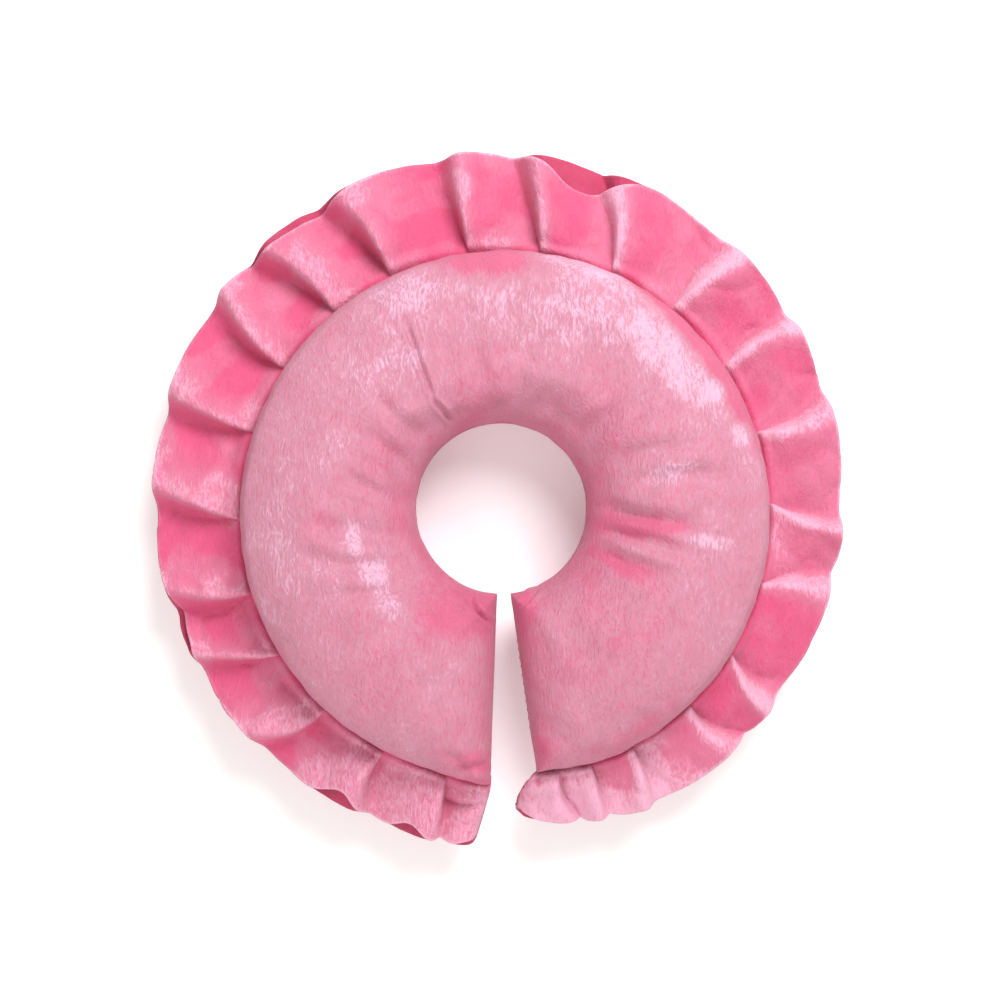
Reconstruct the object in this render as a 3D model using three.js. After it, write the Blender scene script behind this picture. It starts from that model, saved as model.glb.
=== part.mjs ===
// A face cradle cushion for a massage table, in millimetres, +Z up.
// It is a C-shaped plush ring stuffed with polyester fibre. A face panel and a back panel are sewn together all
// round, with their seam allowances turned in, and a gathered ruffle of two leaves is caught in the outer seam.
// The cushion lies on its back panel, the face hole opens upwards, and the slit between the arms points to -Y.
// The origin is on the table, under the middle of the ruffle's outline.
import * as THREE from "three";

// Outline
const SEAM_CENTRE = new THREE.Vector2(4, -10);
const SEAM_RADIUS = 152;
const HOLE_CENTRE = new THREE.Vector2(1.5, -6);
const HOLE_RADIUS = 49;
const SLIT_START = -55; // Y of the points that the slit edges are measured from
const LEFT_SLIT_X = -0.6;
const RIGHT_SLIT_X = 6.9;
const LEFT_SLIT_LEAN = 2.2; // degrees from -Y, away from the slit's middle
const RIGHT_SLIT_LEAN = 8.3;

// Section
const TOP_HEIGHT = 84; // above the table
const SEAM_HEIGHT = 40; // of the seam plane above the table
const BACK_DEPTH = 47; // how deep the back would hang if no table flattened it
const FULLNESS = 2.3; // 2 gives an elliptic section, and more is fuller
const CREST = 0.97; // share of the half width at which the domes are closed

// Cloth and thread
const PLUSH = 2.4;
const RUFFLE_PLUSH = 1.6; // pressed in the seam
const GAP = 0.3; // between pieces that touch
const FILLING_GAP = 0.6;
const ALLOWANCE = 9;
const STITCH_INSET = 5; // of the stitching from the edge of a seam
const STITCH_CLEAR = 6; // of the stitching from a corner, where a tack is
const THREAD_RADIUS = 0.5;
const TACK_INSET = 6.5;
const TACK_RADIUS = 0.8;
const TACK_LENGTH = 4; // between the round ends
const CLOSING_LENGTH = 55;

// Ruffle
const EDGE_CENTRE = new THREE.Vector2(0, -1.5);
const EDGE_RADIUS = 197.5;
const SCALLOP = 1.5; // the free edge bows out by this much on each fold
const RIGHT_END_SHORT = 13; // the ruffle narrows by this much at its right end
const RIGHT_END_TAPER = 24; // over this many degrees
const RIGHT_END = -86; // bearings of the free corners about that centre, in degrees from +X
const LEFT_END = 266;
const PLEATS = 23;
const FOLD_HEIGHT = 8; // of a fold at the free edge, up and down
const FOLD_GROWTH = 1.6; // power by which the folds grow towards the free edge
const DROOP = 7;
const LEAF_SPREAD = 6; // between the two leaves at the free edge
const BACK_LEAF_EXTRA = 1.5; // the back leaf shows past the front one
const RUFFLE_RAW_EDGE = 7.5; // inside the seam

// Mesh steps
const ARC_STEPS = 32;
const DOME_STEPS = 5;
const LONG_THREAD_STEPS = 40;
const SHORT_THREAD_STEPS = 18;
const STEPS_PER_PLEAT = 4;
const REACH_SHARES = [0.3, 0.65, 1];
const THREAD_SIDES = 5;

const HALF_WIDTH = (SEAM_RADIUS - HOLE_RADIUS) / 2;
const CREST_CENTRE = SEAM_CENTRE.clone().lerp(HOLE_CENTRE, 0.5);
const rad = THREE.MathUtils.degToRad;
const deg = THREE.MathUtils.radToDeg;
const lerp = THREE.MathUtils.lerp;

function material(color, roughness) {
  return new THREE.MeshStandardMaterial({ color, roughness, metalness: 0 });
}

const bodyPlush = material("#ec9cb4", 0.9);
const backPlush = material("#d98aa2", 0.92);
const frontLeafPlush = material("#e87a9b", 0.9);
const backLeafPlush = material("#c95a78", 0.92);
const fibre = material("#f4f2ee", 1);
const sewingThread = material("#d8708c", 0.6);
const tackThread = material("#b84a68", 0.6);

function onCircle(centre, radius, bearing) {
  const angle = rad(bearing);
  return new THREE.Vector2(centre.x + radius * Math.cos(angle), centre.y + radius * Math.sin(angle));
}

// One edge of the slit: side is -1 for the left edge and +1 for the right one. The edge is moved into its arm by inset.
function slitEdge(side, inset) {
  const lean = rad(side < 0 ? LEFT_SLIT_LEAN : RIGHT_SLIT_LEAN);
  const direction = new THREE.Vector2(side * Math.sin(lean), -Math.cos(lean));
  const intoArm = new THREE.Vector2(side * Math.cos(lean), Math.sin(lean));
  const start = new THREE.Vector2(side < 0 ? LEFT_SLIT_X : RIGHT_SLIT_X, SLIT_START);
  return { start: start.addScaledVector(intoArm, inset), direction };
}

// The bearing at which a slit edge leaves a circle.
function cornerBearing(edge, centre, radius) {
  const toCentre = centre.clone().sub(edge.start);
  const along = toCentre.dot(edge.direction);
  const travel = along + Math.sqrt(along * along - toCentre.lengthSq() + radius * radius);
  const corner = edge.start.clone().addScaledVector(edge.direction, travel).sub(centre);
  return deg(Math.atan2(corner.y, corner.x));
}

// An arc drawn in from the seam or the hole, with its two corner bearings, counter-clockwise from the right corner.
function arcAt(isOuter, inset) {
  const share = inset / HALF_WIDTH;
  const centre = (isOuter ? SEAM_CENTRE : HOLE_CENTRE).clone().lerp(CREST_CENTRE, share);
  const radius = isOuter ? SEAM_RADIUS - inset : HOLE_RADIUS + inset;
  const right = cornerBearing(slitEdge(1, inset), centre, radius);
  const left = cornerBearing(slitEdge(-1, inset), centre, radius) + 360;
  return { centre, radius, right, left };
}

function arcPoint(arc, share) {
  return onCircle(arc.centre, arc.radius, lerp(arc.right, arc.left, share));
}

// The seam plane's layers part by this much on each side: two ruffle leaves lie in the outer seam, none in the others.
const OUTER_LIFT = GAP / 2 + RUFFLE_PLUSH + GAP;
const INNER_LIFT = GAP / 2;

// A ring round the C at one inset: the outer arc, then the inner arc back. heightAt turns a lift into a height.
function cRing(inset, heightAt) {
  const outer = arcAt(true, inset);
  const inner = arcAt(false, inset);
  const ring = [];
  for (let i = 0; i <= ARC_STEPS; i++) {
    const point = arcPoint(outer, i / ARC_STEPS);
    ring.push(new THREE.Vector3(point.x, point.y, SEAM_HEIGHT + heightAt(OUTER_LIFT)));
  }
  for (let i = ARC_STEPS; i >= 0; i--) {
    const point = arcPoint(inner, i / ARC_STEPS);
    ring.push(new THREE.Vector3(point.x, point.y, SEAM_HEIGHT + heightAt(INNER_LIFT)));
  }
  return ring;
}

// A closed solid through rings of points. Each end is closed by strips between a ring's first half and its second.
function loft(rings) {
  const count = rings[0].length;
  const faces = [];
  for (let k = 0; k + 1 < rings.length; k++) {
    for (let i = 0; i < count; i++) {
      const next = (i + 1) % count;
      const here = k * count;
      const there = here + count;
      faces.push(here + i, here + next, there + next, here + i, there + next, there + i);
    }
  }
  const last = (rings.length - 1) * count;
  for (let i = 0; i + 1 < count / 2; i++) {
    const across = count - 1 - i;
    faces.push(across - 1, i + 1, i, across, across - 1, i);
    faces.push(last + i, last + i + 1, last + across - 1, last + i, last + across - 1, last + across);
  }
  const geometry = new THREE.BufferGeometry();
  const positions = rings.flat().flatMap((point) => point.toArray());
  geometry.setAttribute("position", new THREE.Float32BufferAttribute(positions, 3));
  geometry.setIndex(faces);
  geometry.computeVertexNormals();
  return geometry;
}

// The dome's profile from beside the seam to the crest, drawn in by offset, as [inset, heightAt] pairs. The side is
// +1 for the face, whose dome is height deep, and -1 for the back, which the table cuts flat at the depth of floor.
function dome(side, height, floor, offset, firstStep) {
  const lastStep = Math.acos((1 - CREST) ** (FULLNESS / 2));
  const profile = [];
  for (let i = firstStep; i <= DOME_STEPS; i++) {
    const angle = (i / DOME_STEPS) * lastStep;
    const inset = HALF_WIDTH - (HALF_WIDTH - offset) * Math.cos(angle) ** (2 / FULLNESS);
    const rise = Math.sin(angle) ** (2 / FULLNESS);
    const heightAt = (lift) => side * Math.min(lerp(lift, height - offset, rise), floor - offset);
    profile.push([Math.min(inset, CREST * HALF_WIDTH), heightAt]);
  }
  return profile;
}

const faceDome = (offset, firstStep) => dome(1, TOP_HEIGHT - SEAM_HEIGHT, TOP_HEIGHT, offset, firstStep);
const backDome = (offset, firstStep) => dome(-1, BACK_DEPTH, SEAM_HEIGHT, offset, firstStep);
const inward = (profile) => profile.slice().reverse();
const solid = (profile) => loft(profile.map(([inset, heightAt]) => cRing(inset, heightAt)));

// The turned-in seam allowance, from the panel's inside to its outside.
function allowance(side) {
  return [
    [PLUSH, (lift) => side * (lift + PLUSH)],
    [ALLOWANCE, (lift) => side * (lift + PLUSH)],
    [ALLOWANCE, (lift) => side * lift],
  ];
}

function facePanel() {
  return solid([...inward(faceDome(PLUSH, 1)), ...allowance(1), ...faceDome(0, 0)]);
}

function backPanel() {
  return solid([...inward(backDome(0, 0)), ...inward(allowance(-1)), ...backDome(PLUSH, 1)]);
}

// The filling has a groove all round, which clears the seam allowances and the stitching on them.
function filling() {
  const offset = PLUSH + FILLING_GAP;
  const lip = offset + FILLING_GAP;
  const grooveHeight = (lift) => lift + PLUSH + 2 * GAP + 2 * TACK_RADIUS;
  const groove = [
    [lip, (lift) => -grooveHeight(lift)],
    [ALLOWANCE + GAP, (lift) => -grooveHeight(lift)],
    [ALLOWANCE + GAP, grooveHeight],
    [lip, grooveHeight],
  ];
  return solid([...inward(backDome(offset, 1)), ...groove, ...faceDome(offset, 1)]);
}

// The radius of the ruffle's free edge about its centre, at a share of the way from its right end to its left end.
function edgeRadius(share) {
  const fromRightEnd = share * (LEFT_END - RIGHT_END);
  const taper = RIGHT_END_SHORT * Math.max(0, 1 - fromRightEnd / RIGHT_END_TAPER) ** 2;
  return EDGE_RADIUS + SCALLOP * foldAt(share) - taper;
}

function foldAt(share) {
  return -Math.cos(2 * Math.PI * PLEATS * share);
}

// A point in the middle of a ruffle leaf. The reach is 0 at the seam and 1 at the free edge.
// The side is +1 for the front leaf and -1 for the back one.
function rufflePoint(side, share, reach) {
  const seam = arcPoint(arcAt(true, 0), share);
  const extra = side < 0 ? BACK_LEAF_EXTRA : 0;
  const free = onCircle(EDGE_CENTRE, edgeRadius(share) + extra, lerp(RIGHT_END, LEFT_END, share));
  const place = seam.lerp(free, reach);
  const layer = (side * (GAP + RUFFLE_PLUSH)) / 2;
  const spread = (side * LEAF_SPREAD * reach) / 2;
  const hang = (FOLD_HEIGHT * foldAt(share) - DROOP) * reach ** FOLD_GROWTH;
  return new THREE.Vector3(place.x, place.y, SEAM_HEIGHT + layer + spread + hang);
}

function ruffleRawEdge(side, share) {
  const place = arcPoint(arcAt(true, RUFFLE_RAW_EDGE), share);
  const layer = (side * (GAP + RUFFLE_PLUSH)) / 2;
  return new THREE.Vector3(place.x, place.y, SEAM_HEIGHT + layer);
}

function ruffleLeaf(side) {
  const steps = PLEATS * STEPS_PER_PLEAT;
  const halfCloth = new THREE.Vector3(0, 0, RUFFLE_PLUSH / 2);
  const sections = [];
  for (let i = 0; i <= steps; i++) {
    const share = i / steps;
    const middle = [ruffleRawEdge(side, share)];
    for (const reach of [0, ...REACH_SHARES]) {
      middle.push(rufflePoint(side, share, reach));
    }
    const under = middle.map((point) => point.clone().sub(halfCloth));
    const over = middle.map((point) => point.clone().add(halfCloth));
    sections.push([...over, ...under.reverse()]);
  }
  return loft(sections);
}

// A thread along points, as a thin closed tube.
function thread(points, steps) {
  const section = new THREE.Shape().absarc(0, 0, THREAD_RADIUS, 0, 2 * Math.PI);
  const extrudePath = new THREE.CatmullRomCurve3(points);
  const curveSegments = Math.round(THREAD_SIDES / 2);
  return new THREE.ExtrudeGeometry(section, { steps, curveSegments, bevelEnabled: false, extrudePath });
}

// The height of a thread or tack of one radius that lies on the face panel's seam allowance.
const onAllowance = (lift, radius) => SEAM_HEIGHT + lift + PLUSH + GAP + radius;

function arcThread(arc, height, steps) {
  const trim = STITCH_CLEAR / (rad(arc.left - arc.right) * arc.radius);
  const points = [];
  for (let i = 0; i <= steps; i++) {
    const place = arcPoint(arc, lerp(trim, 1 - trim, i / steps));
    points.push(new THREE.Vector3(place.x, place.y, height));
  }
  return thread(points, steps);
}

// The two corners of a slit seam's stitching, at the outer seam and at the hole.
function slitCorners(side, inset) {
  const atRight = side > 0 ? 0 : 1;
  return [arcPoint(arcAt(true, inset), atRight), arcPoint(arcAt(false, inset), atRight)];
}

function slitThread(side) {
  const [outer, inner] = slitCorners(side, STITCH_INSET);
  const trim = STITCH_CLEAR / outer.distanceTo(inner);
  const start = outer.clone().lerp(inner, trim);
  const end = outer.clone().lerp(inner, 1 - trim);
  return thread(
    [
      new THREE.Vector3(start.x, start.y, onAllowance(OUTER_LIFT, THREAD_RADIUS)),
      new THREE.Vector3(end.x, end.y, onAllowance(INNER_LIFT, THREAD_RADIUS)),
    ],
    1,
  );
}

// The hand stitching that closes the gap through which the cushion was filled, along the outside of the right slit
// seam.
function closingStitch() {
  const [outer, inner] = slitCorners(1, 0);
  const middle = outer.clone().lerp(inner, 0.5);
  const along = inner.clone().sub(outer).normalize();
  const away = new THREE.Vector2(along.y, -along.x).multiplyScalar(-THREAD_RADIUS - GAP);
  const ends = [-1, 1].map((end) => middle.clone().add(away).addScaledVector(along, (end * CLOSING_LENGTH) / 2));
  return thread(ends.map((place) => new THREE.Vector3(place.x, place.y, SEAM_HEIGHT)), 1);
}

// A short bar of tacking stitches that lies along a bearing.
function tack(position, bearing) {
  const geometry = new THREE.CapsuleGeometry(TACK_RADIUS, TACK_LENGTH, 3, 8);
  geometry.rotateZ(rad(bearing - 90));
  geometry.translate(position.x, position.y, position.z);
  return geometry;
}

function cornerTack(side) {
  const [, inner] = slitCorners(side, TACK_INSET);
  return tack(new THREE.Vector3(inner.x, inner.y, onAllowance(INNER_LIFT, TACK_RADIUS)), -90);
}

function ruffleEndTack(side) {
  const share = side > 0 ? 0.008 : 0.992;
  const place = rufflePoint(1, share, 0.15);
  place.z += RUFFLE_PLUSH / 2 + 2 * GAP + TACK_RADIUS;
  return tack(place, side > 0 ? RIGHT_END : LEFT_END);
}

const group = new THREE.Group();

function addPiece(name, geometry, look) {
  const mesh = new THREE.Mesh(geometry, look);
  mesh.name = name;
  group.add(mesh);
}

addPiece("face_panel", facePanel(), bodyPlush);
addPiece("back_panel", backPanel(), backPlush);
addPiece("fibre_filling", filling(), fibre);
addPiece("ruffle_front_leaf", ruffleLeaf(1), frontLeafPlush);
addPiece("ruffle_back_leaf", ruffleLeaf(-1), backLeafPlush);

const stitchedOuter = arcAt(true, STITCH_INSET);
const stitchedHole = arcAt(false, STITCH_INSET);
const gathered = arcAt(true, RUFFLE_RAW_EDGE + GAP + THREAD_RADIUS);
addPiece("outer_seam_thread", arcThread(stitchedOuter, onAllowance(OUTER_LIFT, THREAD_RADIUS), LONG_THREAD_STEPS), sewingThread);
addPiece("hole_seam_thread", arcThread(stitchedHole, onAllowance(INNER_LIFT, THREAD_RADIUS), SHORT_THREAD_STEPS), sewingThread);
addPiece("left_slit_seam_thread", slitThread(-1), sewingThread);
addPiece("right_slit_seam_thread", slitThread(1), sewingThread);
addPiece("ruffle_gathering_thread", arcThread(gathered, SEAM_HEIGHT, LONG_THREAD_STEPS), sewingThread);
addPiece("closing_stitch_thread", closingStitch(), sewingThread);
addPiece("left_inner_corner_tack", cornerTack(-1), tackThread);
addPiece("right_inner_corner_tack", cornerTack(1), tackThread);
addPiece("left_ruffle_end_tack", ruffleEndTack(-1), tackThread);
addPiece("right_ruffle_end_tack", ruffleEndTack(1), tackThread);

// The ruffle's folds leave its outline a little off centre, so the whole cushion is moved to centre it.
const outlineBox = new THREE.Box3().setFromObject(group);
const middle = outlineBox.getCenter(new THREE.Vector3());
group.position.set(-middle.x, -middle.y, -outlineBox.min.z);

export default group;
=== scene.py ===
"""The looks of a C-shaped face cradle cushion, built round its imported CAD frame. Metres, +Z up.

The stuffed body is one pillow, swollen by a cloth simulation and cut at its seams into a face panel and a
back panel. The ruffle is two gathered leaves, each a sheet of plush whose folds have their roots in the
outer seam.
"""
import math

import bpy
import numpy as np
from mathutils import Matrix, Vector, noise


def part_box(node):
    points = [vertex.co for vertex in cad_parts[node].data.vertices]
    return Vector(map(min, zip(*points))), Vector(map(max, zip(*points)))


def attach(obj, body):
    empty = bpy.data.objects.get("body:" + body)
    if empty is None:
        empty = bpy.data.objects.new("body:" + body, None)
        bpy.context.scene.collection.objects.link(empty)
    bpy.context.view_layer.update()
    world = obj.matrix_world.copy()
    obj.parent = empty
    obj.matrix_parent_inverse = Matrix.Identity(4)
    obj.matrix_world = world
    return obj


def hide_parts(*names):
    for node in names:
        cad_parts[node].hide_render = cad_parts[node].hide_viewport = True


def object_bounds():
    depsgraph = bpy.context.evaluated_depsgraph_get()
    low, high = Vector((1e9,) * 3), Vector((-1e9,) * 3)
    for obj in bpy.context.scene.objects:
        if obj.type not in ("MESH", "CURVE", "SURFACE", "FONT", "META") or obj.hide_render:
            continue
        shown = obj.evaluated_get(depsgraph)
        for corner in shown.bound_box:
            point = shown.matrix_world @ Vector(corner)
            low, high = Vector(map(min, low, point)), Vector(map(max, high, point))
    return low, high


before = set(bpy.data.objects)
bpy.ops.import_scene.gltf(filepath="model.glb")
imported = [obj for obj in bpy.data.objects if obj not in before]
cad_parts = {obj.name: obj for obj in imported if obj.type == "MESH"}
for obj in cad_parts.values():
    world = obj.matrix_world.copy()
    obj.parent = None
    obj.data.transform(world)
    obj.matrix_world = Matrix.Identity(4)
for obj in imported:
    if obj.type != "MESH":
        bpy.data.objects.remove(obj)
CAD_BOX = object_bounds()

MM = 0.001
FACE_LOW, FACE_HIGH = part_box("face_panel")
_, BACK_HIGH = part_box("back_panel")
RUFFLE_LOW, RUFFLE_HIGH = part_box("ruffle_front_leaf")

# The seam plane and the outline of the body, all from the frame
SEAM_Z = (FACE_LOW.z + BACK_HIGH.z) / 2
TOP_Z = FACE_HIGH.z
SEAM_CENTRE = np.array([(FACE_LOW.x + FACE_HIGH.x) / 2, (FACE_LOW.y + FACE_HIGH.y) / 2])
SEAM_RADIUS = (FACE_HIGH.x - FACE_LOW.x) / 2
STITCH_INSET = 5 * MM
THREAD_RADIUS = 0.5 * MM
HOLE_LOW, HOLE_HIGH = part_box("hole_seam_thread")
HOLE_RADIUS = (HOLE_HIGH.x - HOLE_LOW.x) / 2 - STITCH_INSET - THREAD_RADIUS
HOLE_CENTRE_Y = HOLE_HIGH.y - HOLE_RADIUS - STITCH_INSET - THREAD_RADIUS
HOLE_CENTRE = np.array([(HOLE_LOW.x + HOLE_HIGH.x) / 2, HOLE_CENTRE_Y])
HALF_WIDTH = (SEAM_RADIUS - HOLE_RADIUS) / 2


def slit_line(side):
    """A slit edge, as its inner end and its direction outwards. side is -1 left and +1 right."""
    low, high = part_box("left_slit_seam_thread" if side < 0 else "right_slit_seam_thread")
    inner_x = high.x - THREAD_RADIUS if side < 0 else low.x + THREAD_RADIUS
    outer_x = low.x + THREAD_RADIUS if side < 0 else high.x - THREAD_RADIUS
    shift = -side * STITCH_INSET
    inner = np.array([inner_x + shift, high.y])
    outer = np.array([outer_x + shift, low.y])
    direction = (outer - inner) / np.linalg.norm(outer - inner)
    return inner, direction


def meet_circle(line, centre, radius):
    """Where a slit line leaves a circle."""
    start, direction = line
    to_centre = centre - start
    along = float(to_centre @ direction)
    travel = along + math.sqrt(along**2 - float(to_centre @ to_centre) + radius**2)
    return start + travel * direction


def bearing_of(point, centre):
    return math.atan2(point[1] - centre[1], point[0] - centre[0])


RIGHT_LINE = slit_line(1)
LEFT_LINE = slit_line(-1)
OUTER_RIGHT = bearing_of(meet_circle(RIGHT_LINE, SEAM_CENTRE, SEAM_RADIUS), SEAM_CENTRE)
OUTER_LEFT = bearing_of(meet_circle(LEFT_LINE, SEAM_CENTRE, SEAM_RADIUS), SEAM_CENTRE) + 2 * math.pi
INNER_RIGHT = bearing_of(meet_circle(RIGHT_LINE, HOLE_CENTRE, HOLE_RADIUS), HOLE_CENTRE)
INNER_LEFT = bearing_of(meet_circle(LEFT_LINE, HOLE_CENTRE, HOLE_RADIUS), HOLE_CENTRE) + 2 * math.pi


CORNER_SHIFTS = ((RIGHT_LINE, 4 * MM), (LEFT_LINE, -4 * MM))  # of the arms' outer corners, along Y
CORNER_SPREAD = 24 * MM  # how far from a corner its shift is felt


# ---------------------------------------------------------------- small helpers


def smooth_step(x, low, high):
    t = np.clip((x - low) / (high - low), 0, 1)
    return t * t * (3 - 2 * t)


def on_circle(centre, radius, angle):
    return np.stack([centre[0] + radius * np.cos(angle), centre[1] + radius * np.sin(angle)], axis=-1)


def shift_corners(plan):
    """The ruffle's gathers draw the right arm's outer corner in, and leave the left arm's long."""
    shifted = plan.copy()
    for line, shift in CORNER_SHIFTS:
        away = np.linalg.norm(plan - meet_circle(line, SEAM_CENTRE, SEAM_RADIUS), axis=-1)
        shifted[..., 1] += shift * np.exp(-((away / CORNER_SPREAD) ** 2))
    return shifted


def new_object(name, vertices, faces):
    mesh = bpy.data.meshes.new(name)
    mesh.from_pydata([tuple(v) for v in vertices], [], faces)
    mesh.update()
    obj = bpy.data.objects.new(name, mesh)
    bpy.context.scene.collection.objects.link(obj)
    mesh.polygons.foreach_set("use_smooth", [True] * len(mesh.polygons))
    return obj


def coordinates(obj):
    co = np.zeros(len(obj.data.vertices) * 3)
    obj.data.vertices.foreach_get("co", co)
    return co.reshape(-1, 3)


def set_coordinates(obj, co):
    obj.data.vertices.foreach_set("co", np.asarray(co, float).ravel())
    obj.data.update()


def apply_modifiers(obj):
    graph = bpy.context.evaluated_depsgraph_get()
    mesh = bpy.data.meshes.new_from_object(obj.evaluated_get(graph))
    old = obj.data
    obj.modifiers.clear()
    obj.data = mesh
    bpy.data.meshes.remove(old)


def smooth_noise(points, size, seed):
    """Noise from about -1 to 1 at each point, whose features are about size across."""
    offset = Vector((seed * 17.3, seed * 5.1, seed * 9.7))
    return np.array([noise.noise(Vector(p) / size + offset) for p in points])


# ---------------------------------------------------------------- camera, light and floor

CAMERA_HEIGHT = 1.36  # above the ruffle
VIEW_WIDTH = 0.574  # of the picture, at the ruffle
LENS_SENSOR = 36.0
CAMERA_SHIFT = (1 * MM, -1.4 * MM)  # from the middle of the CAD box

# Each light: name, place, size, watts and colour
LIGHT_TARGET = (0, 0, 0.03)
LIGHTS = [
    ("key", (0.42, 1.0, 1.2), 0.95, 28, (1.0, 0.98, 1.0)),
    ("fill", (-0.2, -1.2, 0.9), 1.2, 11, (1.0, 0.97, 0.96)),
]
WORLD_COLOUR = (1.0, 0.965, 0.93, 1)
WORLD_STRENGTH = 0.535

FLOOR_HALF = 3.0
FLOOR_COLOUR = (0.96, 0.96, 0.96, 1)
FLOOR_ROUGHNESS = 0.9
FLOOR_GLOW = 0.15  # a lit table, which keeps the shadows pale


def add_camera():
    data = bpy.data.cameras.new("camera")
    data.sensor_width = LENS_SENSOR
    data.lens = LENS_SENSOR * CAMERA_HEIGHT / VIEW_WIDTH
    camera = bpy.data.objects.new("camera", data)
    low, high = Vector(CAD_BOX[0]), Vector(CAD_BOX[1])
    middle_x = (low.x + high.x) / 2
    middle_y = (low.y + high.y) / 2
    camera.location = (middle_x + CAMERA_SHIFT[0], middle_y + CAMERA_SHIFT[1], SEAM_Z + CAMERA_HEIGHT)
    bpy.context.scene.collection.objects.link(camera)
    bpy.context.scene.camera = camera


def add_light(name, place, size, watts, colour):
    data = bpy.data.lights.new(name, "AREA")
    data.shape = "DISK"
    data.size = size
    data.energy = watts
    data.color = colour
    light = bpy.data.objects.new(name, data)
    light.location = place
    light.rotation_euler = (Vector(LIGHT_TARGET) - Vector(place)).to_track_quat("-Z", "Y").to_euler()
    bpy.context.scene.collection.objects.link(light)


def add_world():
    world = bpy.data.worlds.new("studio")
    bpy.context.scene.world = world
    world.use_nodes = True
    background = world.node_tree.nodes["Background"]
    background.inputs["Color"].default_value = WORLD_COLOUR
    background.inputs["Strength"].default_value = WORLD_STRENGTH


def add_floor():
    half = FLOOR_HALF
    corners = [(-half, -half, 0), (half, -half, 0), (half, half, 0), (-half, half, 0)]
    floor = new_object("floor", corners, [(0, 1, 2, 3)])
    material = bpy.data.materials.new("pale_floor")
    material.use_nodes = True
    shader = material.node_tree.nodes["Principled BSDF"]
    shader.inputs["Base Color"].default_value = FLOOR_COLOUR
    shader.inputs["Roughness"].default_value = FLOOR_ROUGHNESS
    shader.inputs["Emission Color"].default_value = (1, 1, 1, 1)
    shader.inputs["Emission Strength"].default_value = FLOOR_GLOW
    floor.data.materials.append(material)


# ---------------------------------------------------------------- materials


HAIR_DRIFT_SCALE = 60.0  # per metre, of the drift that keeps the strokes from lying straight
HAIR_DRIFT = 7 * MM
TUFTS = (1.5 * MM, 6 * MM, 1.0)  # width and length of the strokes, and the detail of their noise
HAIRS = (0.5 * MM, 3.0 * MM, 2.0)
HAIR_SHOWN = 0.35  # how much of the hair's contrast shows where the nap is deep
HAIR_SHOWN_MORE = 1.3  # and how much more where it is pale
PILE_RELIEF = 1.3 * MM
PILE_ROUGHNESS = 0.62
PILE_SPECULAR = 0.25
PILE_SHEEN_ROUGHNESS = 0.35
PILE_SHEEN_TINT = (1.0, 0.82, 0.9, 1)

KNIT_AND_SHADE = (0.52, 0.055, 0.13, 1)  # the plush's backing, its colour darkened as painted shade where the back leaf shows under the front one
# The plush of the body and of the ruffle: deep, middle and pale nap, the hair's contrast and the sheen
BODY_PLUSH = ((0.61, 0.13, 0.235, 1), (0.575, 0.235, 0.325, 1), (0.72, 0.42, 0.56, 1), 1.6, 0.15)
RUFFLE_PLUSH = ((0.69, 0.098, 0.218, 1), (0.67, 0.175, 0.292, 1), (0.8, 0.4, 0.54, 1), 0.95, 0.2)
# Plain stuffs: colour, how much darker its darkest tone is, and the size of its grain
THREAD = ((0.7, 0.25, 0.35, 1), 0.25, 0.4 * MM)
FIBRE = ((0.9, 0.89, 0.87, 1), 0.12, 3 * MM)
CLOTH_ROUGHNESS = 0.85
CLOTH_SHEEN = 0.2
CLOTH_RELIEF = 0.3 * MM


class Nodes:
    """A short way to build a node tree."""

    def __init__(self, name):
        self.material = bpy.data.materials.new(name)
        self.material.use_nodes = True
        self.tree = self.material.node_tree
        self.shader = self.tree.nodes["Principled BSDF"]

    def add(self, kind, settings=None, **inputs):
        node = self.tree.nodes.new(kind)
        for key, value in (settings or {}).items():
            setattr(node, key, value)
        for key, value in inputs.items():
            self.set(node, key.replace("_", " "), value)
        return node

    def set(self, node, key, value):
        socket = node.inputs[int(key)] if key.isdigit() else node.inputs[key]
        if isinstance(value, bpy.types.NodeSocket):
            self.tree.links.new(value, socket)
        else:
            socket.default_value = value

    def math(self, operation, first, second=0.0, clamp=False):
        node = self.tree.nodes.new("ShaderNodeMath")
        node.operation = operation
        node.use_clamp = clamp
        for socket, value in zip(node.inputs, (first, second)):
            if isinstance(value, bpy.types.NodeSocket):
                self.tree.links.new(value, socket)
            else:
                socket.default_value = value
        return node.outputs[0]

    def vector_math(self, operation, inputs):
        return self.add("ShaderNodeVectorMath", {"operation": operation}, **inputs).outputs[0]

    def mix(self, share, first, second):
        node = self.tree.nodes.new("ShaderNodeMix")
        node.data_type = "RGBA"
        for socket, value in ((node.inputs[0], share), (node.inputs[6], first), (node.inputs[7], second)):
            if isinstance(value, bpy.types.NodeSocket):
                self.tree.links.new(value, socket)
            else:
                socket.default_value = value
        return node.outputs[2]

    def ramp(self, value, low, high):
        node = self.tree.nodes.new("ShaderNodeMapRange")
        node.interpolation_type = "SMOOTHSTEP"
        node.inputs["From Min"].default_value = low
        node.inputs["From Max"].default_value = high
        self.tree.links.new(value, node.inputs["Value"])
        return node.outputs[0]


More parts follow.
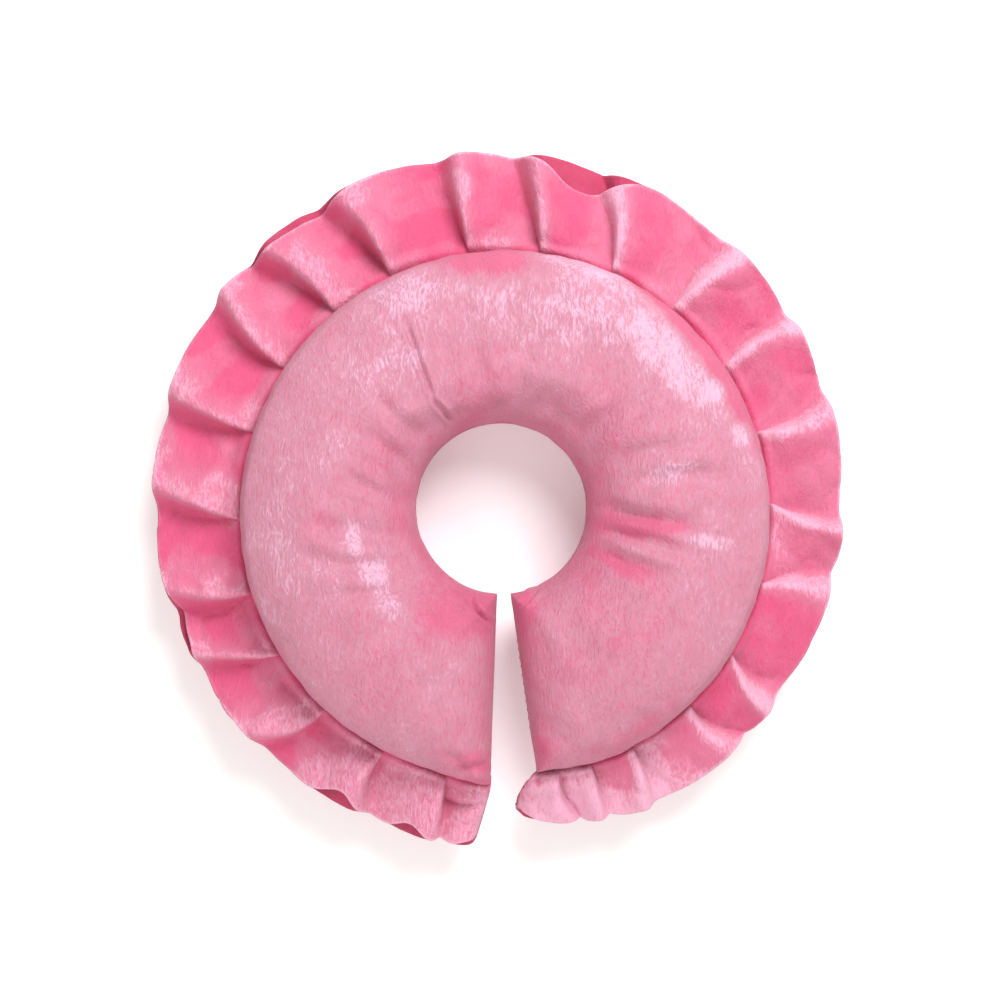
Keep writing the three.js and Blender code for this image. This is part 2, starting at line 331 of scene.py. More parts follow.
def plush(name, deep, middle, pale, hair_contrast, sheen):
    """Short-pile plush: fine hairs brushed in loose strokes along Y, over the stored lay of the nap, which
    also carries painted shade and painted highlights.
    Where the stored backing mask is 1, the plain knitted backing shows, in a colour darkened as painted
    shade."""
    n = Nodes(name)
    place = n.add("ShaderNodeTexCoord").outputs["Object"]
    lay_and_light = n.add("ShaderNodeAttribute", {"attribute_name": "nap_and_light"}).outputs["Fac"]
    drift = n.add("ShaderNodeTexNoise", Vector=place, Scale=HAIR_DRIFT_SCALE, Detail=1.0).outputs["Color"]
    centred = n.vector_math("SUBTRACT", {"0": drift, "1": (0.5, 0.5, 0.5)})
    pushed = n.vector_math("SCALE", {"0": centred, "Scale": HAIR_DRIFT})
    warped = n.vector_math("ADD", {"0": place, "1": pushed})

    def strokes(width, length, detail):
        mapping = n.add("ShaderNodeMapping", Vector=warped, Scale=(1 / width, 1 / length, 1 / width))
        tex = n.add("ShaderNodeTexNoise", Vector=mapping.outputs[0], Scale=1.0, Detail=detail, Roughness=0.6)
        return tex.outputs["Fac"]

    tufts = n.math("MULTIPLY", strokes(*TUFTS), 0.5)
    hairs = n.math("MULTIPLY", strokes(*HAIRS), 0.5)
    strands = n.math("ADD", tufts, hairs)
    seen = n.math("MULTIPLY", n.math("SUBTRACT", strands, 0.5), hair_contrast)
    ruffled = n.math("MULTIPLY", seen, n.math("ADD", n.math("MULTIPLY", lay_and_light, HAIR_SHOWN_MORE), HAIR_SHOWN))
    tone = n.math("ADD", lay_and_light, ruffled)
    shaded = n.mix(n.ramp(tone, 0.0, 0.5), deep, middle)
    colour = n.mix(n.ramp(tone, 0.5, 1.0), shaded, pale)
    # the backing's dark colour is painted shade where the back leaf shows under the front one
    backing_and_shade = n.add("ShaderNodeAttribute", {"attribute_name": "backing_and_shade"}).outputs["Fac"]
    n.set(n.shader, "Base Color", n.mix(backing_and_shade, colour, KNIT_AND_SHADE))
    n.set(n.shader, "Roughness", PILE_ROUGHNESS)
    n.set(n.shader, "Specular IOR Level", PILE_SPECULAR)
    n.set(n.shader, "Sheen Weight", sheen)
    n.set(n.shader, "Sheen Roughness", PILE_SHEEN_ROUGHNESS)
    n.set(n.shader, "Sheen Tint", PILE_SHEEN_TINT)
    bump = n.add("ShaderNodeBump", Strength=1.0, Distance=PILE_RELIEF, Height=strands)
    n.set(n.shader, "Normal", bump.outputs[0])
    return n.material


def plain_cloth(name, colour, spread, size):
    """A matte fibrous stuff: one colour with fine uneven tone and a soft bump."""
    n = Nodes(name)
    place = n.add("ShaderNodeTexCoord").outputs["Object"]
    tone = n.add("ShaderNodeTexNoise", Vector=place, Scale=1 / size, Detail=3.0).outputs["Fac"]
    dark = tuple(c * (1 - spread) for c in colour[:3]) + (1,)
    n.set(n.shader, "Base Color", n.mix(n.ramp(tone, 0.3, 0.7), dark, colour))
    n.set(n.shader, "Roughness", CLOTH_ROUGHNESS)
    n.set(n.shader, "Sheen Weight", CLOTH_SHEEN)
    bump = n.add("ShaderNodeBump", Strength=0.5, Distance=CLOTH_RELIEF, Height=tone)
    n.set(n.shader, "Normal", bump.outputs[0])
    return n.material


# ---------------------------------------------------------------- the stuffed body

GRID_STEP = 3.2 * MM  # of the pillow's mesh before it is refined
EDGE_BAND = HALF_WIDTH * 0.9  # beside each seam, where the mesh is closer together
EDGE_CROWDING = 1.6
EDGE_TURNS = 1.3  # times as many rows there
SEAM_CORNER = 3.0  # how sharply one seam's distance takes over from the next one's
FULLNESS = 2.3
START_HEIGHT = 0.92  # the pillow starts flatter than the CAD solid, and swells
BACK_PRESS = 1.1  # the back panel starts below the table, and is pressed flat on it
BACK_CLEARANCE = 0.3 * MM
SWELL_FRAMES = 20
SWELL_CAP = 12 * MM
SEAM_CAP = 1 * MM  # the most that the cloth moves beside a seam
CAP_GROWTH = 22 * MM  # from a seam, over which that grows to SWELL_CAP
SLIT_SHARE = 0.2  # of the swelling, beside the slit
SLIT_HOLD = (15 * MM, 80 * MM)  # from the slit, between which that grows to all
SPARE_CLOTH = 0.075  # the panels are cut this much larger than their shape
OUTER_EASE = 2.2 * MM  # over which the cloth is eased inside the outer seam
INNER_EASE = 0.8 * MM  # and inside the hole's and the slit's seams
FOOT_EASE = 5 * MM  # above the table, over which the cloth is eased down
FOOT_TOUCH = 1.2 * MM  # below this the back panel lies on the table
PANEL_THICKNESS = 2.2 * MM
FACE_REFINEMENT, BACK_REFINEMENT = 2, 1
FILLING_INSET = PANEL_THICKNESS + 1.2 * MM
FILLING_ROWS = 5  # of the pillow's grid, left out beside each seam

CREASE_WANDER = 0.25  # of its width, by which a crease strays from straight
CREASE_LIP = 0.45  # of its depth, the roll of cloth beside a crease
PUCKER_DEPTH = 0.9 * MM
PUCKER_SIZE = 11 * MM
OUTER_PUCKERS, HOLE_PUCKERS = 9 * MM, 8 * MM  # how far the puckers reach
HOLE_PUCKER_SHARE = 0.8

# The lay of the face's nap, from 0 for deep to 1 for pale: its middle, and drifts as amount, size and seed.
BODY_LAY = 0.45
LAY_DRIFTS = ((0.16, 34 * MM, 3), (0.12, 13 * MM, 5))
# How much deeper it looks beside the hole (deeper nap with painted shade on the slopes into it), in the
# outer seam's crevice (painted shade) and beside the slit, and over what distance.
HOLE_NAP_AND_SHADE, HOLE_FADE = 0.26, 16 * MM
SEAM_PAINTED_SHADE, SEAM_FADE = 0.4, 1.6 * MM
SLIT_DEEPER, SLIT_FADE = 0.28, 9 * MM
PATCH_EDGE = (0.2, 1.35)  # shares of a brushed patch's size between which it fades
PATCH_RAGGED = 0.3  # how uneven that edge is
PATCH_GRAIN = 9 * MM

CLOSING_STEP = 5 * MM  # from one hand stitch to the next
CLOSING_DEPTH = 0.4 * MM  # how far the thread goes in and out
CLOSING_RISE = 1.6 * MM  # and how far up and down, from the seam
CLOSING_SUNK = 0.3 * MM  # how far it sinks into the cloth
CLOSING_THREAD = 0.3 * MM  # its radius
CLOSING_POINTS = 12  # to each turn of the thread

# Creases of the face panel: the bearing in degrees and the radius in mm of each one's start and end about
# the hole's centre, its depth and its half width in mm. The narrow ones are crisp, the others soft hollows.
CREASES = [
    (117, 122, 122.4, 66, 2.2, 1.4), (122, 72, 118.5, 54, 1.6, 1.3), (249, 54, 265, 66, 3, 1.4),
    (279, 57, 296, 50, 2.4, 1.3), (184, 112, 199, 56, 2.1, 5), (194, 116, 214, 60, 2.3, 5.5),
    (207, 108, 223, 64, 1.7, 4.5), (168, 92, 176, 58, 1.7, 4), (150, 88, 156, 57, 1.6, 4),
    (138, 96, 140, 56, 1.4, 4), (14, 70, 8, 132, 2.4, 5), (0, 58, -6, 110, 3.4, 4.5),
    (-11, 58, -13, 112, 3, 4), (-24, 62, -22, 100, 2.2, 5), (22, 66, 19, 118, 1.9, 5),
    (42, 60, 40, 100, 1.2, 5), (66, 58, 62, 98, 1, 4), (82, 58, 80, 92, 1, 4), (98, 58, 99, 100, 1.2, 4.5),
    (232, 72, 224, 112, 1.2, 6), (254, 76, 250, 150, 0.9, 7), (-62, 66, -56, 112, 1, 6),
    (259.6, 151, 267.5, 145, 1.8, 2.2), (257, 140, 264, 150, 1.7, 3.5), (-80, 120, -72, 138, 1, 5),
]  # fmt: skip

# Patches of the face panel, brushed nap mixed with painted highlights (the pale ones on the upper right) and
# painted shadow (the deep strip along the upper right flank):
# bearing in degrees and radius in mm of the middle, half sizes round the hole and away from it in mm, and
# how pale (+) or deep (-) it looks.
BRUSHED_AND_PAINTED_LIGHT = [
    (94, 139, 34, 10, -0.5), (-7.5, 79, 8, 30, -0.4), (-25, 76, 7, 20, -0.45), (35, 148, 50, 9, -0.9),
    (40, 128, 38, 13, 0.45), (206, 79, 12, 9, 0.5), (112, 132, 24, 12, 0.3), (-9, 113, 5, 17, 0.45),
    (66, 122, 30, 16, 0.15), (58, 124, 70, 24, 0.13), (92, 118, 60, 24, 0.18), (245, 67, 30, 16, -0.25),
    (262, 62, 12, 10, -0.15), (-80, 60, 10, 14, -0.35), (150, 110, 40, 24, 0.12), (-50, 110, 30, 24, -0.1),
    (182, 128, 30, 14, 0.15), (266, 145, 30, 8, -0.3), (-60, 146, 40, 7, -0.2), (12, 98, 9, 16, 0.3),
    (128, 100, 22, 12, 0.2), (55, 149, 16, 3.5, -0.5), (29, 138, 7, 9, 0.5), (17, 141, 8, 7, 0.5),
    (222, 81, 12, 9, 0.4), (70, 146, 34, 9, 0.45), (-84, 140, 16, 10, -0.3), (192, 85, 16, 6, 0.4),
]  # fmt: skip


def spaced(length, edge, step):
    """Distances from 0 to length, closer together within edge of each end, where the dome falls steeply."""
    turns = round(EDGE_TURNS * edge / step)
    near = [edge * (i / turns) ** EDGE_CROWDING for i in range(turns)]
    between = max(1, round((length - 2 * edge) / step))
    middle = [edge + (length - 2 * edge) * i / between for i in range(between + 1)]
    far = [length - d for d in reversed(near)]
    return np.array(near + middle + far) / length


def dome_rise(distance):
    """The dome's height, from 0 to 1, at a distance in from the seams."""
    share = np.clip(distance / HALF_WIDTH, 0, 1)
    return (1 - (1 - share) ** FULLNESS) ** (1 / FULLNESS)


def slit_distance(plan, side):
    """How far inside one arm's slit line each point of the plan is; far away outside that arm."""
    start, direction = RIGHT_LINE if side > 0 else LEFT_LINE
    normal = side * np.array([-direction[1], direction[0]])
    middle = (RIGHT_LINE[0] + LEFT_LINE[0]) / 2
    lean = (RIGHT_LINE[1] + LEFT_LINE[1]) / 2
    slit_middle = middle[0] + (plan[..., 1] - middle[1]) * lean[0] / lean[1]
    elsewhere = (plan[..., 1] > HOLE_CENTRE[1]) | (side * (plan[..., 0] - slit_middle) < 0)
    return np.where(elsewhere, HALF_WIDTH * 4, (plan - start) @ normal)


def seam_distance(plan, across):
    """How far each point of the plan is from the nearest seam, rounded off where two seams are as near.
    across runs from 0 at the hole to 1 at the outer seam."""
    ring = (0.5 - np.abs(across - 0.5)) * 2 * HALF_WIDTH
    total = np.zeros(ring.shape)
    for distance in (ring, slit_distance(plan, 1), slit_distance(plan, -1)):
        total += np.maximum(distance, 1e-6) ** -SEAM_CORNER
    return total ** (-1 / SEAM_CORNER)


def pillow_grid():
    """The plan of the C as a grid of points, and how far across the arm each column is."""
    middle_radius = (SEAM_RADIUS + HOLE_RADIUS) / 2
    arc = (OUTER_LEFT - OUTER_RIGHT) * middle_radius
    along = spaced(arc, EDGE_BAND, GRID_STEP)
    across = spaced(2 * HALF_WIDTH, EDGE_BAND, GRID_STEP)
    inner = on_circle(HOLE_CENTRE, HOLE_RADIUS, INNER_RIGHT + (INNER_LEFT - INNER_RIGHT) * along)
    outer = on_circle(SEAM_CENTRE, SEAM_RADIUS, OUTER_RIGHT + (OUTER_LEFT - OUTER_RIGHT) * along)
    plan = inner[:, None, :] + (outer - inner)[:, None, :] * across[None, :, None]
    return plan, np.broadcast_to(across, plan.shape[:2])


def pillow_mesh():
    """One closed pillow: a top grid and a bottom grid that share their border, which is the seam."""
    plan, across = pillow_grid()
    rows, columns = plan.shape[:2]
    inward = seam_distance(plan, across)
    rise = dome_rise(inward)
    rise[0, :] = rise[-1, :] = 0
    rise[:, 0] = rise[:, -1] = 0
    up = SEAM_Z + START_HEIGHT * (TOP_Z - SEAM_Z) * rise
    down = SEAM_Z - SEAM_Z * BACK_PRESS * rise
    vertices = [(*plan[i, j], up[i, j]) for i in range(rows) for j in range(columns)]
    depths = list(inward.ravel())
    top = np.arange(rows * columns).reshape(rows, columns)
    bottom = top.copy()
    for i in range(1, rows - 1):
        for j in range(1, columns - 1):
            bottom[i, j] = len(vertices)
            vertices.append((*plan[i, j], max(down[i, j], BACK_CLEARANCE)))
            depths.append(inward[i, j])
    faces = []
    for i in range(rows - 1):
        for j in range(columns - 1):
            faces.append((top[i, j], top[i, j + 1], top[i + 1, j + 1], top[i + 1, j]))
            faces.append((bottom[i, j], bottom[i + 1, j], bottom[i + 1, j + 1], bottom[i, j + 1]))
    return np.array(vertices), faces, top, bottom, np.array(depths)


def swell(obj, border, depths):
    """Swells the pillow with its seams held: the panels have spare cloth, so it puckers as it fills."""
    start = coordinates(obj)
    pins = obj.vertex_groups.new(name="seams")
    pins.add([int(v) for v in border], 1.0, "REPLACE")
    cloth = obj.modifiers.new("cloth", "CLOTH")
    settings = cloth.settings
    settings.quality = 6
    settings.mass = 0.15
    settings.tension_stiffness = 18
    settings.compression_stiffness = 18
    settings.shear_stiffness = 6
    settings.bending_stiffness = 0.6
    settings.use_pressure = True
    settings.uniform_pressure_force = 4.5
    settings.shrink_min = -SPARE_CLOTH
    settings.vertex_group_mass = "seams"
    settings.effector_weights.gravity = 0
    cloth.point_cache.frame_start = 1
    cloth.point_cache.frame_end = SWELL_FRAMES
    scene = bpy.context.scene
    for number in range(1, SWELL_FRAMES + 1):
        scene.frame_set(number)
    graph = bpy.context.evaluated_depsgraph_get()
    swollen = obj.evaluated_get(graph).to_mesh()
    moved = np.zeros(len(swollen.vertices) * 3)
    swollen.vertices.foreach_get("co", moved)
    moved = moved.reshape(-1, 3) - start
    length = np.linalg.norm(moved, axis=1)
    cap = SEAM_CAP + (SWELL_CAP - SEAM_CAP) * smooth_step(depths, 0, CAP_GROWTH)
    moved *= np.minimum(1, cap / np.maximum(length, 1e-9))[:, None]
    from_slit = np.minimum(slit_distance(start[:, :2], 1), slit_distance(start[:, :2], -1))
    moved *= (SLIT_SHARE + (1 - SLIT_SHARE) * smooth_step(from_slit, *SLIT_HOLD))[:, None]
    obj.modifiers.clear()
    obj.vertex_groups.clear()
    scene.frame_set(1)
    set_coordinates(obj, start + moved)


def hold_at_seams(co):
    """Keeps the swollen cloth from hanging out over its seams: the ruffle and the slit leave no room."""

    def eased(inside, soft):
        drawn = soft * np.exp((np.minimum(inside, soft) - soft) / soft)
        return np.where(inside < soft, drawn, inside) - inside

    from_centre = co[:, :2] - SEAM_CENTRE
    radius = np.linalg.norm(from_centre, axis=1)
    co[:, :2] -= from_centre / radius[:, None] * eased(SEAM_RADIUS - radius, OUTER_EASE)[:, None]
    from_hole = co[:, :2] - HOLE_CENTRE
    radius = np.linalg.norm(from_hole, axis=1)
    co[:, :2] += from_hole / radius[:, None] * eased(radius - HOLE_RADIUS, INNER_EASE)[:, None]
    for side, (_, direction) in ((1, RIGHT_LINE), (-1, LEFT_LINE)):
        normal = side * np.array([-direction[1], direction[0]])
        co[:, :2] += normal * eased(slit_distance(co[:, :2], side), INNER_EASE)[:, None]
    return co


def press_on_table(co):
    """Flattens what the swelling pushed below the table, and eases the cloth round it."""
    z = co[:, 2]
    co[:, 2] = np.where(z < FOOT_EASE, FOOT_EASE * np.exp((z - FOOT_EASE) / FOOT_EASE), z)
    co[:, 2] = np.where(co[:, 2] < FOOT_TOUCH, 0.0, co[:, 2])
    return co


def body():
    vertices, faces, top, bottom, depths = pillow_mesh()
    pillow = new_object("pillow", vertices, faces)
    border = np.unique(np.concatenate([top[0], top[-1], top[:, 0], top[:, -1]]))
    swell(pillow, border, depths)
    co = coordinates(pillow)
    inside = np.ones(len(co), bool)
    inside[border] = False
    co[inside] = press_on_table(hold_at_seams(co[inside]))
    co[:, :2] = shift_corners(co[:, :2])
    bpy.data.objects.remove(pillow)
    face = panel("face_panel_plush", co, top, True, FACE_REFINEMENT)
    back = panel("back_panel_plush", co, bottom, False, BACK_REFINEMENT)
    return face, back, filling(co, top, bottom)


def panel(name, co, grid, upward, refinement):
    """One panel of the cover, cut from the pillow along its seams, with the cloth's thickness inwards."""
    faces = grid_faces(*grid.shape)
    if upward:
        faces = [tuple(reversed(face)) for face in faces]
    obj = new_object(name, co[grid.ravel()], faces)
    subdivision = obj.modifiers.new("fine", "SUBSURF")
    subdivision.levels = subdivision.render_levels = refinement
    subdivision.boundary_smooth = "PRESERVE_CORNERS"
    apply_modifiers(obj)
    if upward:
        crease(obj)
    brush_and_paint_light(obj, BRUSHED_AND_PAINTED_LIGHT if upward else [])
    solidify = obj.modifiers.new("thickness", "SOLIDIFY")
    solidify.thickness = PANEL_THICKNESS
    solidify.offset = -1
    apply_modifiers(obj)
    obj.data.polygons.foreach_set("use_smooth", [True] * len(obj.data.polygons))
    return obj


def crease(obj):
    """Sinks the creases and the puckers of the face panel into it; each crease tapers out at its ends."""
    co = coordinates(obj)
    normals = np.zeros(len(co) * 3)
    obj.data.vertices.foreach_get("normal", normals)
    sink = np.zeros(len(co))
    for bearing, radius, to_bearing, to_radius, depth, width in CREASES:
        start = on_circle(HOLE_CENTRE, radius * MM, math.radians(bearing))
        end = on_circle(HOLE_CENTRE, to_radius * MM, math.radians(to_bearing))
        line = end - start
        length = np.linalg.norm(line)
        along = (co[:, :2] - start) @ line / length**2
        off = np.abs((co[:, :2] - start) @ np.array([-line[1], line[0]])) / length
        off += CREASE_WANDER * width * MM * np.sin(along * 5 + bearing)
        taper = smooth_step(along, -0.12, 0.3) * (1 - smooth_step(along, 0.6, 1.12))
        lip = np.exp(-(((off - 2 * width * MM) / (width * MM)) ** 2))
        valley = np.exp(-((off / (width * MM)) ** 2)) - CREASE_LIP * lip
        sink += depth * MM * taper * valley
    co -= normals.reshape(-1, 3) * (sink + seam_puckers(co))[:, None]
    set_coordinates(obj, co)


def seam_puckers(co):
    """How far in the cloth is drawn by the gathers just beside the round seams."""
    from_outer = SEAM_RADIUS - np.linalg.norm(co[:, :2] - SEAM_CENTRE, axis=1)
    from_hole = np.linalg.norm(co[:, :2] - HOLE_CENTRE, axis=1) - HOLE_RADIUS
    puckers = PUCKER_DEPTH * smooth_noise(co * [1, 1, 0], PUCKER_SIZE, 31)
    beside_hole = HOLE_PUCKER_SHARE * np.exp(-from_hole / HOLE_PUCKERS)
    return puckers * (np.exp(-from_outer / OUTER_PUCKERS) + beside_hole)


def brush_and_paint_light(obj, patches):
    """Stores how the nap lies at each point, from 0, deep, to 1, pale, with painted shade beside the hole
    and in the outer seam, and the patches' painted highlights and shadows.
    """
    co = coordinates(obj)
    offset = co[:, :2] - HOLE_CENTRE
    radius = np.linalg.norm(offset, axis=1)
    bearing = np.degrees(np.arctan2(offset[:, 1], offset[:, 0]))
    lay_and_light = np.full(len(co), BODY_LAY)
    for amount, size, seed in LAY_DRIFTS:
        lay_and_light += amount * smooth_noise(co, size, seed)
    from_outer = SEAM_RADIUS - np.linalg.norm(co[:, :2] - SEAM_CENTRE, axis=1)
    from_slit = np.minimum(slit_distance(co[:, :2], 1), slit_distance(co[:, :2], -1))
    # painted shade: deeper towards the hole, partly nap, and in the crevice of the outer seam
    lay_and_light -= HOLE_NAP_AND_SHADE * np.exp(-(radius - HOLE_RADIUS) / HOLE_FADE)
    lay_and_light -= SEAM_PAINTED_SHADE * np.exp(-from_outer / SEAM_FADE)
    lay_and_light -= SLIT_DEEPER * np.exp(-np.maximum(from_slit, 0) / SLIT_FADE)
    ragged = PATCH_RAGGED * smooth_noise(co, PATCH_GRAIN, 8)
    # the patches are partly brushed nap, partly painted highlights and painted shadow
    for at, out, half_round, half_away, pale in patches:
        turn = np.radians((bearing - at + 180) % 360 - 180)
        far = np.hypot(turn * out * MM / (half_round * MM), (radius - out * MM) / (half_away * MM))
        lay_and_light += pale * (1 - smooth_step(far + ragged, *PATCH_EDGE))
    store(obj, "nap_and_light", np.clip(lay_and_light, 0, 1))


def store(obj, name, values):
    attribute = obj.data.attributes.new(name, "FLOAT", "POINT")
    attribute.data.foreach_set("value", np.asarray(values, np.float32))


def filling(co, top, bottom):
    """The fibre inside: the pillow drawn in by the cloth's thickness, and cut back from the seams."""
    cut = slice(FILLING_ROWS, -FILLING_ROWS)
    layers = []
    for grid, turn in ((top, 1), (bottom, -1)):
        points = co[grid]
        along = np.gradient(points, axis=0)
        across = np.gradient(points, axis=1)
        normal = np.cross(across, along) * turn
        normal /= np.maximum(np.linalg.norm(normal, axis=2, keepdims=True), 1e-9)
        layers.append((points - normal * FILLING_INSET)[cut, cut])
    rows, columns = layers[0].shape[:2]
    upper = np.arange(rows * columns).reshape(rows, columns)
    lower = upper + rows * columns
    faces = []
    for i in range(rows - 1):
        for j in range(columns - 1):
            faces.append((upper[i, j], upper[i, j + 1], upper[i + 1, j + 1], upper[i + 1, j]))
            faces.append((lower[i, j], lower[i + 1, j], lower[i + 1, j + 1], lower[i, j + 1]))
    rim = [(i, 0) for i in range(rows)] + [(rows - 1, j) for j in range(1, columns)]
    rim += [(i, columns - 1) for i in range(rows - 2, -1, -1)] + [(0, j) for j in range(columns - 2, 0, -1)]
    for here, there in zip(rim, rim[1:] + rim[:1]):
        faces.append((upper[here], upper[there], lower[there], lower[here]))
    vertices = np.concatenate([layer.reshape(-1, 3) for layer in layers])
    return new_object("fibre_filling_body", vertices, [tuple(int(v) for v in f) for f in faces])


def closing_stitch():
    """The hand stitches over the right slit's seam: one thread that winds round the edge of the panels."""
    low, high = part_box("closing_stitch_thread")
    start, direction = RIGHT_LINE
    outwards = np.array([direction[1], -direction[0]])
    turns = round((high.y - low.y) / CLOSING_STEP)
    phase = np.linspace(0, turns * 2 * math.pi, turns * CLOSING_POINTS + 1)
    along = np.linspace(start[1] - high.y, start[1] - low.y, len(phase)) / -direction[1]
    away = CLOSING_DEPTH * np.sin(phase) - CLOSING_SUNK
    plan = start + along[:, None] * direction + outwards * away[:, None]
    path = np.concatenate([plan, (SEAM_Z + CLOSING_RISE * np.cos(phase))[:, None]], axis=1)
    return tube("closing_stitches", path, CLOSING_THREAD)


def tube(name, path, radius):
    """A round thread along a path."""
    sides = 6
    tangent = np.gradient(path, axis=0)
    tangent /= np.linalg.norm(tangent, axis=1, keepdims=True)
    first = np.cross(tangent, [0.0, 1.0, 0.01])
    first /= np.linalg.norm(first, axis=1, keepdims=True)
    second = np.cross(tangent, first)
    angles = [2 * math.pi * k / sides for k in range(sides)]
    rings = [path + radius * (math.cos(a) * first + math.sin(a) * second) for a in angles]
    vertices = np.stack(rings, axis=1).reshape(-1, 3)
    faces = [
        (i * sides + k, i * sides + (k + 1) % sides, (i + 1) * sides + (k + 1) % sides, (i + 1) * sides + k)
        for i in range(len(path) - 1)
        for k in range(sides)
    ]
    last = (len(path) - 1) * sides
    faces += [tuple(range(sides - 1, -1, -1)), tuple(range(last, last + sides))]
    return new_object(name, vertices, faces)


# ---------------------------------------------------------------- the ruffle

EDGE_CENTRE = np.array([(RUFFLE_LOW.x + RUFFLE_HIGH.x) / 2, (RUFFLE_LOW.y + RUFFLE_HIGH.y) / 2])
EDGE_RADIUS = (RUFFLE_HIGH.x - RUFFLE_LOW.x) / 2 - 1 * MM
RIGHT_END, LEFT_END = -87.0, 265.5  # bearings of the ends of the free edge, in degrees
RUFFLE_INSIDE = 7 * MM  # of each leaf, caught in the seam
RUFFLE_REACH = 46 * MM  # of each leaf in plan, from the seam to the free edge
RUFFLE_CLOTH = 2 * MM
CORNER_ROUNDING = 5 * MM  # of the leaves' outer corners
LEAF_GAP = 2.6 * MM  # from the middle of one leaf to the other at the seam
STEEP_COLUMNS = 9
FACET_COLUMNS = 18
REACH_ROWS = 26
INSIDE_ROWS = 3
REACH_CROWDING = 1.15

FOLD_GROWTH = 0.22  # the share of the reach over which the folds open
FOLD_BOW = 1.6  # degrees by which a ridge bows to one side
END_HEIGHT, END_NAP = -2.0, 0.3
LIT = (-0.25, 0.3)  # the outward direction's X where folds turn to the light

# A fold's profile, as shares of the way to the next ridge and of the ridges' heights, and in mm.
FALL_START = -0.06  # of the steep side's fall, at the seam
WIDEST_FALL = 0.45
FACET_AT, FACET_SHIFT = 0.45, 0.1
SHOULDER_AT = 0.84
HALFWAY_HEIGHT, TROUGH_HEIGHT = 0.1, -0.62
FACET_HEIGHT, FACET_NEXT_HEIGHT, FACET_DENT = -0.1, 0.05, 2.2
SHOULDER_HEIGHT, SHOULDER_DENT = 0.55, 0.8
RIDGE_PUSH, RIDGE_UNEVEN, TROUGH_PUSH, FACET_PUSH, SHOULDER_PUSH = 0.5, 0.8, -2.0, 0.6, 0.4
LAST_HEIGHT = 2  # of the rise towards the left end, in mm
# The lay of its nap, with painted light: the ridge painted pale as sheen, the steep side and trough painted
# deep as shade, the shoulder painted pale as sheen away from the light, and the lit shares that turn these
# round on the side towards the light.
RIDGE_SHEEN_NAP = 0.95
STEEP_SHADE_NAP, STEEP_LIT_NAP = 0.05, 0.8
TROUGH_LIT_NAP = 0.35
FACET_NAP, FACET_NAP_UNEVEN = 0.2, 0.2
SHOULDER_SHEEN_NAP, SHOULDER_LIT_NAP = 0.7, -0.5
ROOT_COLUMNS = 0.7  # how many columns the folds are rounded over at the seam
EDGE_COLUMNS = 1.9  # and how many more at the free edge
NAP_COLUMNS = 0.55  # the share of that for the nap

# How the free edge narrows or widens towards its ends: over what degrees, and by how much
NARROW_ARC, NARROW_BY, NARROW_CURVE = 26, 14 * MM, 1.3
WIDE_ARC, WIDE_BY = 24, 3 * MM
CORNER_DEPTH = 0.8 * CORNER_ROUNDING
NOTCH_SHARPNESS = 2.5
END_BULGE, END_BULGE_ARC = 5 * MM, 5  # of the right end, sideways, and its degrees

# Crumples: each kind's size, and its height in mm. The short ones are near the seam.
BROAD_CRUMPLE, BROAD_HEIGHT = 16 * MM, 1.4
WAVE_CRUMPLE, WAVE_HEIGHT = 60 * MM, 2.5
SHORT_CRUMPLE, SHORT_HEIGHT, SHORT_REACH = 7 * MM, 0.7, 0.2
LINE_CRUMPLE, LINE_DEPTH = 26 * MM, 2.1
LINE_FINENESS = 6
DROOP, DROOP_CURVE = 4, 1.6
# How far in mm the leaf rises beside the seam, and near its right end, and where over its reach.
ROOT_LIP, ROOT_LIP_AT, ROOT_LIP_SPREAD = 2.4, 0.05, 0.05
END_LIP, END_LIP_AT, END_LIP_SPREAD = 7, 0.22, 0.2
END_LIP_START = 12  # how steeply that begins
END_LIP_ARC = 9  # degrees

# How far the ends roll down and over what width, in mm
RIGHT_ROLL, RIGHT_ROLL_WIDTH = 8, 13
LEFT_ROLL, LEFT_ROLL_WIDTH = 6, 8
GATHER_HEIGHT, GATHER_PITCH = 2.8, 3.4  # of the right end's gathers, in mm and degrees
GATHER_START, GATHER_MIDDLE, GATHER_SPREAD = -84, -76, 7  # bearings, in degrees
ROLL_START = 4  # how soon the ends roll and gather
PINCH = 5  # the depth in mm of the crease across the left end
PINCH_BEARING, PINCH_SPREAD = 262, 5  # degrees
PINCH_REACH, PINCH_WIDTH = 0.38, 0.06
REAR_FOLDS, REAR_SPREAD = 0.85, 3.5  # the back leaf's folds are lower, and it hangs lower, in mm
RUFFLE_SEED = 20

# The lay of the leaves' nap, which is ruffled up and paler beside the seam, with painted shade and painted
# sheen mixed in where marked.
FUZZ, FUZZ_REACH, FUZZ_SIZE = 0.45, 0.16, 22 * MM
PIT_SHADE, PIT_REACH, PIT_SPREAD, PIT_TURN = 0.7, 0.18, 0.1, 2.6  # painted shade in the pits between the right end's gathers
CUT_EDGE_PALE, CUT_EDGE = 0.5, (0.965, 0.985)  # shares of the reach
LOW_SIDE_SHEEN, LOW_SIDE_SHEEN_OUT, LOW_SIDE = 0.3, 0.5, (0.7, 0.92)  # painted sheen: the side towards -Y is paler
ROOT_SHADE, ROOT_SHADE_REACH = 0.6, 0.025  # the seam's own groove is deeper
NAP_PATCH, NAP_PATCH_LIT, NAP_PATCH_SIZE = 0.18, 0.1, 24 * MM
NAP_PATCH_EDGE = (-0.1, 0.14)
NAP_GRAIN, NAP_GRAIN_SIZE = 0.08, 9 * MM
# the palest the nap may look, higher where the leaf turns to the light: painted shade on the side away from
# it
PALEST, PALEST_LIT = 0.72, 0.28

